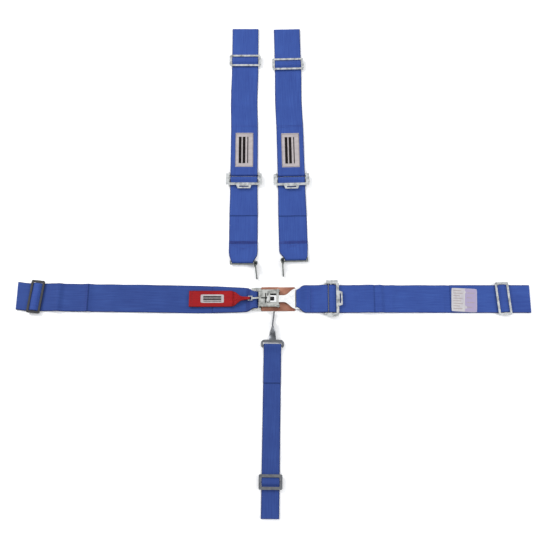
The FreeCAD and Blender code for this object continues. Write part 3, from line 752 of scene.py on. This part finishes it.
# ---------------------------------------------------------------------------
# Labels: cloth patches printed with plain stripes and bars, no lettering
# ---------------------------------------------------------------------------
def sheet_mesh(name, columns, rows, place, uvs, material, smooth):
    """A closed thin sheet: place(i, j, level) gives its points, level 1 on top and 0 below."""
    cells = [(i, j) for i in range(columns + 1) for j in range(rows + 1)]
    verts = [place(i, j, level) for level in (1, 0) for i, j in cells]
    faces = []

    def at(i, j, level):
        return (0 if level else len(cells)) + i * (rows + 1) + j

    for i in range(columns):
        for j in range(rows):
            faces.append((at(i, j, 1), at(i + 1, j, 1), at(i + 1, j + 1, 1), at(i, j + 1, 1)))
            faces.append((at(i, j, 0), at(i, j + 1, 0), at(i + 1, j + 1, 0), at(i + 1, j, 0)))
    for i in range(columns):
        faces.append((at(i, 0, 1), at(i, 0, 0), at(i + 1, 0, 0), at(i + 1, 0, 1)))
        faces.append((at(i, rows, 1), at(i + 1, rows, 1), at(i + 1, rows, 0), at(i, rows, 0)))
    for j in range(rows):
        faces.append((at(0, j, 1), at(0, j + 1, 1), at(0, j + 1, 0), at(0, j, 0)))
        faces.append((at(columns, j, 1), at(columns, j, 0), at(columns, j + 1, 0), at(columns, j + 1, 1)))
    return finish_mesh(name, verts, faces, uvs, material, smooth)


def turned(centre, turn, a, b):
    """The s and t of a patch's own point (a, b), for a patch turned by some degrees."""
    c, w = math.cos(math.radians(turn)), math.sin(math.radians(turn))
    return centre[0] + a * c - b * w, centre[1] + a * w + b * c


def patch(name, strip, centre, size, z, material, turn=0.0, thick=0.5, corner=1.5, bow=0.35):
    """A thin, slightly creased cloth patch with clipped corners."""
    columns, rows = 10, 6
    uvs = []

    def place(i, j, level):
        a = (i / columns - 0.5) * size[0]
        b = (j / rows - 0.5) * size[1]
        pull = min(size[0] / 2 - abs(a), size[1] / 2 - abs(b))
        if i in (0, columns) and j in (0, rows):
            a -= math.copysign(corner * 0.5, a)
            b -= math.copysign(corner * 0.5, b)
        crease = max(0.0, noise.noise(Vector((a * 0.09, b * 0.07, z + centre[0])))) * bow * min(1, pull / 6)
        uvs.append((b * MM, a * MM))
        return strip.point(*turned(centre, turn, a, b), z + level * (thick + crease))

    return sheet_mesh(name, columns, rows, place, uvs, material, smooth=False)


def print_mesh(name, strip, centre, blocks, z, material, turn=0.0, thick=0.12):
    """Printed blocks on a patch: each is a list of corners (a, b) about its centre."""
    verts, faces = [], []
    for corners in blocks:
        base, n = len(verts), len(corners)
        for level in (0, thick):
            for a, b in corners:
                verts.append(strip.point(*turned(centre, turn, a, b), z + level))
        faces.append(tuple(base + k for k in reversed(range(n))))
        faces.append(tuple(base + n + k for k in range(n)))
        for k in range(n):
            j = (k + 1) % n
            faces.append((base + k, base + j, base + n + j, base + n + k))
    return finish_mesh(name, verts, faces, None, material, smooth=False)


def rect(a0, a1, b0, b1):
    return [(a0, b0), (a1, b0), (a1, b1), (a0, b1)]


def border(a, b, wide):
    """Four bars that frame a patch of half sizes a and b."""
    return [rect(-a, a, -b, -b + wide), rect(-a, a, b - wide, b),
            rect(-a, -a + wide, -b, b), rect(a - wide, a, -b, b)]


def stripes(half, *edges):
    """Plain bars along a patch, each between two places across it."""
    return [rect(-half, half, low, high) for low, high in edges]


def shoulder_label(name, strip):
    centre = (-68.5, 0.0)
    cloth = patch(name + "_label_cloth", strip, centre, (104, 50), ON_TOP, GREY_LABEL, corner=0.4)
    settle(cloth, name + "_belt", "label_grey", name + "_label")
    blocks = border(49.4, 24.0, 0.5) + stripes(40.0, (-15.5, -8.0), (-4.5, 3.0), (8.5, 11.0))
    ink = print_mesh(name + "_label_print", strip, centre, blocks, 5.25, BLACK_INK)
    settle(ink, name + "_belt", "label_grey")


shoulder_label("left_shoulder", LEFT_SHOULDER)
shoulder_label("right_shoulder", RIGHT_SHOULDER)


def pull_label():
    centre = (96.6, 0.0)
    cloth = patch("red_pull_label_cloth", RED, centre, (62, 23), 8.7, GREY_LABEL, thick=0.4, bow=0.2)
    settle(cloth, "pull_strap", "label_grey", "red_pull_strap_label")
    blocks = stripes(24.0, (-6.8, -2.8), (-0.6, 3.4), (6.0, 7.6))
    ink = print_mesh("red_pull_label_print", RED, centre, blocks, 9.35, BLACK_INK)
    settle(ink, "pull_strap", "label_grey")


pull_label()


def lap_label():
    centre, turn = (374.0, -3.5), -3.0
    cloth = patch("lap_label_cloth", RIGHT_LAP, centre, (68, 64), ON_TOP, WHITE_LABEL, turn)
    settle(cloth, "lap_belt_link_half", "label_white", "right_lap_label")
    half_patch = [rect(2.0, 33.2, -31.2, 31.2)]
    tint = print_mesh("lap_label_tint", RIGHT_LAP, centre, half_patch, 4.86, PINK_LABEL, turn, 0.14)
    settle(tint, "lap_belt_link_half", "label_white")
    blocks = []
    for k in range(8):
        b = 25.0 - k * 7.0
        blocks.append(rect(-29.0, -29.0 + (21.0, 25.0, 17.0, 24.0)[k % 4], b - 1.1, b + 1.1))
    for k in range(4):
        b = 20.0 - k * 13.0
        blocks.append(rect(7.0, 7.0 + (20.0, 14.0)[k % 2], b - 0.9, b + 0.9))
    ink = print_mesh("lap_label_print", RIGHT_LAP, centre, blocks, 5.12, GREY_INK, turn)
    settle(ink, "lap_belt_link_half", "label_white")


lap_label()


# ---------------------------------------------------------------------------
# Leather pad
# ---------------------------------------------------------------------------
def leather_pad():
    """The pad under the latch: rounded edges, its free long edges lifting a little."""
    lo, hi = (Vector(corner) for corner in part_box("leather_pad"))
    columns, rows = 44, 32
    middle = (lo.y + hi.y) / 2
    corner = 1.4 * MM

    def place(i, j, level):
        x = lo.x + (hi.x - lo.x) * i / columns
        y = lo.y + (hi.y - lo.y) * j / rows
        edge = min(x - lo.x, hi.x - x, y - lo.y, hi.y - y)
        if i in (0, columns) and j in (0, rows):
            x += corner if i == 0 else -corner
            y += corner if j == 0 else -corner
        round_off = math.sqrt(max(0.0, 1 - max(0.0, 1 - edge / (1.6 * MM)) ** 2))
        beyond = min(1, max(0.0, abs(y - middle) - 24 * MM) / (9 * MM))
        wave = (0.5 + 0.5 * math.sin(x * 95 + (2 if y > LATCH_AT.y else 0))) * 1.6 * MM * beyond
        return Vector((x, y, wave + (0.5 + 2.0 * round_off if level else 0.15) * MM))

    piece = sheet_mesh("latch_leather", columns, rows, place, None, LEATHER, smooth=True)
    settle(piece, "lap_belt_latch_half", "leather_tan", "leather_pad")


leather_pad()


# ---------------------------------------------------------------------------
# Metal parts kept from the model: material and softened edges
# ---------------------------------------------------------------------------
def dress(node, material, bevel):
    piece = frame["nodes"][node]
    piece.data.materials.clear()
    piece.data.materials.append(material)
    soften = piece.modifiers.new("soft_edges", "BEVEL")
    soften.width = bevel * MM
    soften.segments = 2
    soften.limit_method = "ANGLE"
    soften.angle_limit = math.radians(35)
    soften.harden_normals = True


HARDWARE = {
    "left_lap_slide": BLACK, "crotch_slide": GREY_STEEL, "crotch_tongue": GREY_STEEL,
    "latch_hook": DARK_STEEL, "latch_spring": DARK_STEEL, "link_plate": LINK_STEEL,
    "latch_base": LATCH_STEEL, "latch_lever": LATCH_STEEL, "latch_lever_pin": LATCH_STEEL,
    "left_shoulder_tongue": TONGUE_STEEL, "right_shoulder_tongue": TONGUE_STEEL,
}
METAL_ENDS = ("_slide", "_tongue", "_frame", "_bar", "latch_base", "latch_lever", "_pin", "link_plate",
              "_hook", "_spring")
BEVELS = {"_slide": 1.1, "_tongue": 0.8, "latch_spring": 0.12, "_pin": 0.5}
PLAIN_BEVEL = 0.6
for node in frame["nodes"]:
    if node.endswith(METAL_ENDS):
        width = next((size for end, size in BEVELS.items() if node.endswith(end)), PLAIN_BEVEL)
        dress(node, HARDWARE.get(node, CHROME), width)


def paint_latch_floor_shade():
    """The base's floor inside the latch, given dark steel as painted shade under the cover."""
    piece = frame["nodes"]["latch_base"]
    # Painted shade: dark steel for the upward floor faces that lie under the cover.
    piece.data.materials.append(DARK_STEEL)
    for face in piece.data.polygons:
        at = piece.matrix_world @ face.center
        if at.z < 5.2 * MM and face.normal.z > 0.5 and at.x > LATCH_AT.x - 47 * MM:
            face.material_index = 1


paint_latch_floor_shade()


# ---------------------------------------------------------------------------
# Floor, light and camera
# ---------------------------------------------------------------------------
def floor():
    """A wide sheet of white paper just below the harness."""
    m = Nodes("paper_floor")
    grain = m.noise(m.stretch(m.object_place(), (40.0, 40.0, 40.0)), 1.0, 3.0)
    tone = m.mix(m.ramp(grain, 0.3, 0.7), (0.93, 0.93, 0.935, 1), (0.95, 0.95, 0.95, 1))
    m.link(tone, m.shader.inputs["Base Color"])
    m.set(Roughness=0.9, Specular_IOR_Level=0.1)
    reach, depth = 6, -0.4 * MM
    corners = [(-reach, -reach), (reach, -reach), (reach, reach), (-reach, reach)]
    verts = [Vector((x, y, depth)) for x, y in corners]
    plane = finish_mesh("floor", verts, [(0, 1, 2, 3)], None, m.material, smooth=False)


def soft_light(name, place, size, power):
    """A soft box that points at the middle of the harness."""
    data = bpy.data.lights.new(name, "AREA")
    data.shape = "RECTANGLE"
    data.size, data.size_y = size
    data.energy = power
    lamp = bpy.data.objects.new(name, data)
    bpy.context.scene.collection.objects.link(lamp)
    lamp.location = place
    lamp.rotation_euler = (-Vector(place)).to_track_quat("-Z", "Y").to_euler()


def studio_sky():
    """A white studio that is dim near the floor and bright overhead."""
    world = bpy.data.worlds.new("studio")
    bpy.context.scene.world = world
    world.use_nodes = True
    sky, links = world.node_tree.nodes, world.node_tree.links
    height = sky.new("ShaderNodeSeparateXYZ")
    fade = sky.new("ShaderNodeMapRange")
    for socket, value in (("From Min", 0.05), ("From Max", 0.75), ("To Min", 0.1), ("To Max", 1.06)):
        fade.inputs[socket].default_value = value
    links.new(sky.new("ShaderNodeTexCoord").outputs["Generated"], height.inputs[0])
    links.new(height.outputs[2], fade.inputs["Value"])
    links.new(fade.outputs[0], sky["Background"].inputs[1])
    sky["Background"].inputs[0].default_value = (0.97, 0.98, 1.0, 1.0)


def camera():
    """The photo's view: from 2.2 m away, tilted 15 degrees from straight down."""
    away, tilt = 2.2, math.radians(15)
    target = Vector((0.0045, -0.0571, 0.0))
    data = bpy.data.cameras.new("camera")
    data.sensor_width = 36
    data.lens = data.sensor_width * 815 / 550
    eye = bpy.data.objects.new("camera", data)
    bpy.context.scene.collection.objects.link(eye)
    eye.location = target + Vector((0, -math.sin(tilt), math.cos(tilt))) * away
    eye.rotation_euler = (target - eye.location).to_track_quat("-Z", "Y").to_euler()
    bpy.context.scene.camera = eye


floor()
soft_light("key_light", (-2.3, 1.6, 2.0), (1.6, 1.2), 80)
soft_light("fill_light", (2.5, -0.4, 2.2), (1.8, 1.6), 43)
studio_sky()
camera()
bpy.context.scene.view_settings.view_transform = "Standard"
